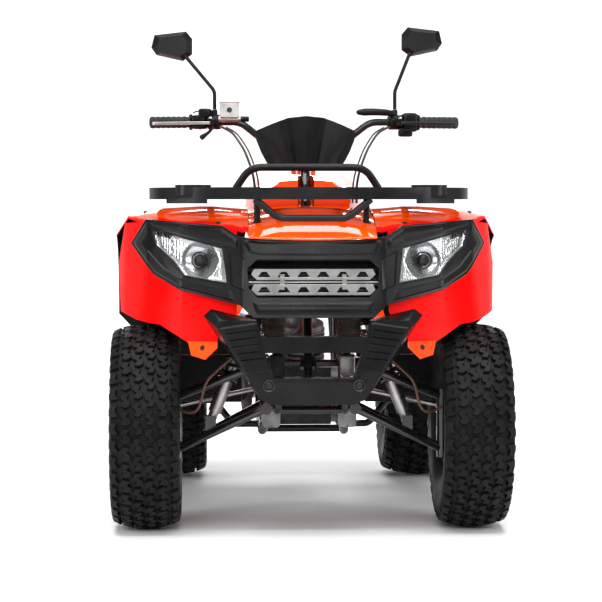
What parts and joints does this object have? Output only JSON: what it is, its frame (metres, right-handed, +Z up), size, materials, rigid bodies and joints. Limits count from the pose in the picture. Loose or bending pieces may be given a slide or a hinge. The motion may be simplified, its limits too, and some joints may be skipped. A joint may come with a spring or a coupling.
{
  "type": "utility quad bike",
  "caption": "Utility quad bike with front and rear carriers, bumper, steered front wheels and a chain-driven solid rear axle.",
  "frame": {"origin": "on the ground, midway between the sides and between the front and rear ends of the body", "axes": "+Z up, +Y towards the rear, +X to the vehicle's left as the rider sits"},
  "size_m": [1.126, 1.85, 1.457],
  "materials": {
    "tyre": "matt ribbed rubber",
    "wheel_metal": "satin black",
    "frame_metal": "satin black",
    "arm_metal": "gloss black",
    "carrier_metal": "textured black",
    "black_plastic": "matt grained",
    "body_plastic": "high gloss orange",
    "lamp_bowl": "mirror bright",
    "lamp_lens": "clear",
    "grille_metal": "brushed",
    "tail_lens": "clear red",
    "seat_cover": "grained black",
    "grip_rubber": "matt",
    "mirror_face": "polished",
    "steel": "brushed",
    "engine_metal": "cast",
    "exhaust_metal": "heat resistant grey",
    "cable_rubber": "satin"
  },
  "bodies": {
    "chassis": {"frame": "frame_metal", "engine": "engine_metal", "exhaust": "exhaust_metal", "front_arms_left": "arm_metal", "front_arms_right": "arm_metal", "front_shocks": "steel", "swingarm": "arm_metal", "rear_shock": "steel", "chain": "steel", "bumper": "black_plastic", "front_rack": "carrier_metal", "rear_rack": "carrier_metal", "front_mask": "black_plastic", "grille": "grille_metal", "headlamps": "lamp_bowl", "headlamp_lenses": "lamp_lens", "hood": "body_plastic", "front_fender_left": "body_plastic", "front_fender_right": "body_plastic", "footwell_left": "black_plastic", "footwell_right": "black_plastic", "footpegs": "frame_metal", "rear_fender_left": "body_plastic", "rear_fender_right": "body_plastic", "seat": "seat_cover", "tank_cover": "body_plastic", "tail_lamps": "tail_lens", "hitch_bracket": "arm_metal"},
    "steering": {"steering_stem": "arm_metal", "handlebar": "frame_metal", "grips": "grip_rubber", "levers": "grille_metal", "controls": "black_plastic", "mirrors": "black_plastic", "mirror_glass": "mirror_face", "handlebar_pod": "black_plastic", "control_cables": "cable_rubber"},
    "knuckle_left": {"knuckle_left": "arm_metal"},
    "knuckle_right": {"knuckle_right": "arm_metal"},
    "tie_rod_left": {"tie_rod_left": "steel"},
    "tie_rod_right": {"tie_rod_right": "steel"},
    "wheel_front_left": {"tyre_front_left": "tyre", "rim_front_left": "wheel_metal", "brake_disc_front_left": "steel"},
    "wheel_front_right": {"tyre_front_right": "tyre", "rim_front_right": "wheel_metal", "brake_disc_front_right": "steel"},
    "rear_axle": {"axle_shaft": "steel", "tyre_rear_left": "tyre", "tyre_rear_right": "tyre", "rim_rear_left": "wheel_metal", "rim_rear_right": "wheel_metal", "rear_sprocket": "steel", "rear_brake_disc": "steel"}
  },
  "joints": [
    {"name": "steering", "type": "hinge", "parent": "chassis", "child": "steering", "pos_m": [0, -0.56, 0.42], "axis": [0, 0.342, 0.9397], "range_deg": [-35, 35], "deforming": ["control_cables"]},
    {"name": "knuckle_left", "type": "hinge", "parent": "chassis", "child": "knuckle_left", "pos_m": [0.385, -0.6, 0.292], "axis": [0, 0, 1], "range_deg": [-27.3, 27.3]},
    {"name": "tie_rod_left", "type": "hinge", "parent": "steering", "child": "tie_rod_left", "pos_m": [0.03, -0.49986, 0.39811], "axis": [0, 0.342, 0.9397], "range_deg": [-37.8, 37.8]},
    {"name": "wheel_front_left", "type": "hinge", "parent": "knuckle_left", "child": "wheel_front_left", "pos_m": [0.465, -0.6, 0.292], "axis": [1, 0, 0], "continuous": true},
    {"name": "knuckle_right", "type": "hinge", "parent": "chassis", "child": "knuckle_right", "pos_m": [-0.385, -0.6, 0.292], "axis": [0, 0, 1], "range_deg": [-27.3, 27.3]},
    {"name": "tie_rod_right", "type": "hinge", "parent": "steering", "child": "tie_rod_right", "pos_m": [-0.03, -0.49986, 0.39811], "axis": [0, 0.342, 0.9397], "range_deg": [-37.8, 37.8]},
    {"name": "wheel_front_right", "type": "hinge", "parent": "knuckle_right", "child": "wheel_front_right", "pos_m": [-0.465, -0.6, 0.292], "axis": [1, 0, 0], "continuous": true},
    {"name": "rear_axle", "type": "hinge", "parent": "chassis", "child": "rear_axle", "pos_m": [0, 0.6, 0.279], "axis": [1, 0, 0], "continuous": true}
  ],
  "couplings": [
    {"joint": "knuckle_left", "follows": "steering", "ratio": 0.78},
    {"joint": "tie_rod_left", "follows": "steering", "ratio": -1.08},
    {"joint": "knuckle_right", "follows": "steering", "ratio": 0.78},
    {"joint": "tie_rod_right", "follows": "steering", "ratio": -1.08}
  ]
}
